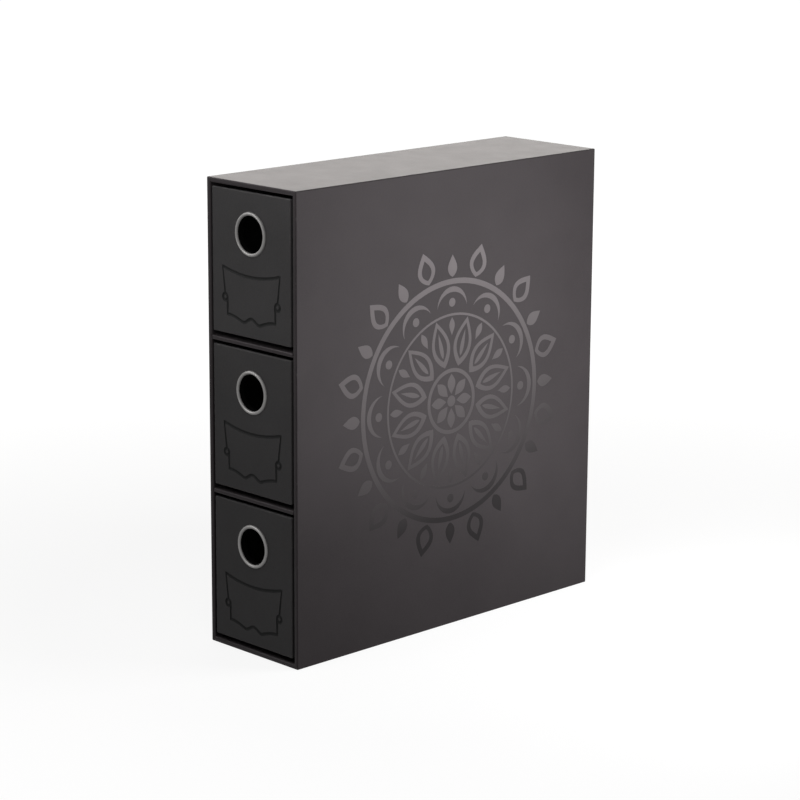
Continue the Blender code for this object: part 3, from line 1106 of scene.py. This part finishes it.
class CARDBOX_OT_stage(bpy.types.Operator):
    """Sets the camera, the floor, the world and the lamps"""

    bl_idname = "cardbox.stage"
    bl_label = "Stage"

    def execute(self, context):
        sizes = context.scene.card_box_stage
        context.scene.view_settings.view_transform = "Standard"
        self.camera(context.scene, sizes)
        self.floor(sizes)
        self.world(context.scene, sizes)
        self.lamp("over_lamp", sizes.over_power).visible_glossy = False
        self.lamp("ring_lamp", sizes.ring_power).visible_diffuse = False
        self.lamp("side_card", sizes.side_power)
        self.lamp("back_card", sizes.back_power).data.color = sizes.back_colour
        return {"FINISHED"}

    def camera(self, scene, sizes):
        """Stands the camera by its angles, offset so that the base lies where it should."""
        level = math.cos(sizes.elevation)
        back = Vector((
            math.sin(sizes.azimuth) * level,
            -math.cos(sizes.azimuth) * level,
            math.sin(sizes.elevation),
        ))
        right = (-back).cross(Vector((0, 0, 1))).normalized()
        up = right.cross(-back)
        turned_right = math.cos(sizes.roll) * right + math.sin(sizes.roll) * up
        turned_up = math.cos(sizes.roll) * up - math.sin(sizes.roll) * right
        low, high = case_box()
        base = Vector(((low.x + high.x) / 2, (low.y + high.y) / 2, low.z))
        camera = bpy.data.objects.new("camera", bpy.data.cameras.new("camera"))
        scene.collection.objects.link(camera)
        stand = base + back * sizes.distance - turned_right * sizes.aside + turned_up * sizes.below
        axes = Matrix((turned_right, turned_up, back)).transposed().to_4x4()
        camera.matrix_world = Matrix.Translation(stand) @ axes
        camera.data.lens = sizes.lens
        scene.camera = camera

    def floor(self, sizes):
        """A large matt floor that the camera sees as white, apart from the shade on it."""
        bpy.ops.mesh.primitive_plane_add(size=sizes.floor_size)
        floor = name_new("floor")
        material, tree, shader, place = new_material("floor")
        tree.nodes.remove(shader)
        matt = add_node(tree, "BsdfDiffuse", Color=(*sizes.floor_colour, 1.0))
        reach = add_node(tree, "VectorMath", {"operation": "LENGTH"}, Vector=place)
        whiteness = spread(tree, reach.outputs["Value"], FLOOR_FADE, (sizes.floor_white, 1.0))
        strength = multiply(tree, whiteness, self.seen(tree))
        white = add_node(tree, "Emission", Color=(1.0, 1.0, 1.0, 1.0), Strength=strength)
        both = add_node(tree, "AddShader")
        tree.links.new(matt.outputs[0], both.inputs[0])
        tree.links.new(white.outputs[0], both.inputs[1])
        tree.links.new(both.outputs[0], tree.nodes["Material Output"].inputs["Surface"])
        floor.data.materials.append(material)

    def world(self, scene, sizes):
        """White where the camera or a gloss sees it, dimmer as a light."""
        world = bpy.data.worlds.new("studio")
        scene.world = world
        world.use_nodes = True
        tree = world.node_tree
        background = tree.nodes["Background"]
        background.inputs["Color"].default_value = (1.0, 1.0, 1.0, 1.0)
        strength = spread(tree, self.seen(tree), WHOLE, (sizes.ambient, 1.0))
        fill(tree, background.inputs["Strength"], strength)

    def seen(self, tree):
        """One for what the camera, a gloss or a clear piece sees, nothing for what gives light."""
        path = add_node(tree, "LightPath").outputs
        indirect = maths(tree, "MAXIMUM", path["Is Glossy Ray"], path["Is Transmission Ray"])
        return maths(tree, "MAXIMUM", path["Is Camera Ray"], indirect)

    def lamp(self, name, power):
        """A lit rectangle that looks at the middle of the case and that the camera doesn't see."""
        low, high = case_box()
        middle = (low + high) / 2
        offset, size = LAMPS[name]
        data = bpy.data.lights.new(name, "AREA")
        data.shape = "RECTANGLE"
        data.size, data.size_y = size
        data.energy = power
        lamp = bpy.data.objects.new(name, data)
        bpy.context.scene.collection.objects.link(lamp)
        lamp.visible_camera = False
        place = middle + offset
        lamp.location = place
        lamp.rotation_euler = (middle - place).to_track_quat("-Z", "Y").to_euler()
        return lamp


PIECE_OPERATORS = (
    CARDBOX_OT_case_cover,
    CARDBOX_OT_shelves,
    CARDBOX_OT_drawer_fronts,
    CARDBOX_OT_drawer_walls,
    CARDBOX_OT_drawer_floors,
    CARDBOX_OT_finger_rings,
    CARDBOX_OT_medallion,
    CARDBOX_OT_stage,
)
SETTINGS = {
    "card_box_case": CardBoxCase,
    "card_box_drawer": CardBoxDrawer,
    "card_box_ring": CardBoxRing,
    "card_box_medallion": CardBoxMedallion,
    "card_box_stage": CardBoxStage,
}


class VIEW3D_PT_card_box(bpy.types.Panel):
    """Lists the pieces and their sizes"""

    bl_label = "Card Box"
    bl_space_type = "VIEW_3D"
    bl_region_type = "UI"
    bl_category = "Card Box"

    def draw(self, context):
        for operator in PIECE_OPERATORS:
            self.layout.operator(operator.bl_idname)
        for name, group in SETTINGS.items():
            box = self.layout.box()
            settings = getattr(context.scene, name)
            for key in group.__annotations__:
                box.prop(settings, key)


def register():
    for name, group in SETTINGS.items():
        bpy.utils.register_class(group)
        setattr(bpy.types.Scene, name, PointerProperty(type=group))
    for operator in PIECE_OPERATORS:
        bpy.utils.register_class(operator)
    bpy.utils.register_class(VIEW3D_PT_card_box)


def unregister():
    bpy.utils.unregister_class(VIEW3D_PT_card_box)
    for operator in reversed(PIECE_OPERATORS):
        bpy.utils.unregister_class(operator)
    for name, group in reversed(SETTINGS.items()):
        delattr(bpy.types.Scene, name)
        bpy.utils.unregister_class(group)


def write_sizes():
    """Updates the view layer."""
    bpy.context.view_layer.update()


def main():
    register()
    bpy.ops.cardbox.case_cover()
    bpy.ops.cardbox.shelves()
    bpy.ops.cardbox.drawer_fronts()
    bpy.ops.cardbox.drawer_walls()
    bpy.ops.cardbox.drawer_floors()
    bpy.ops.cardbox.finger_rings()
    bpy.ops.cardbox.medallion()
    bpy.ops.cardbox.stage()
    write_sizes()


if __name__ == "__main__":
    main()
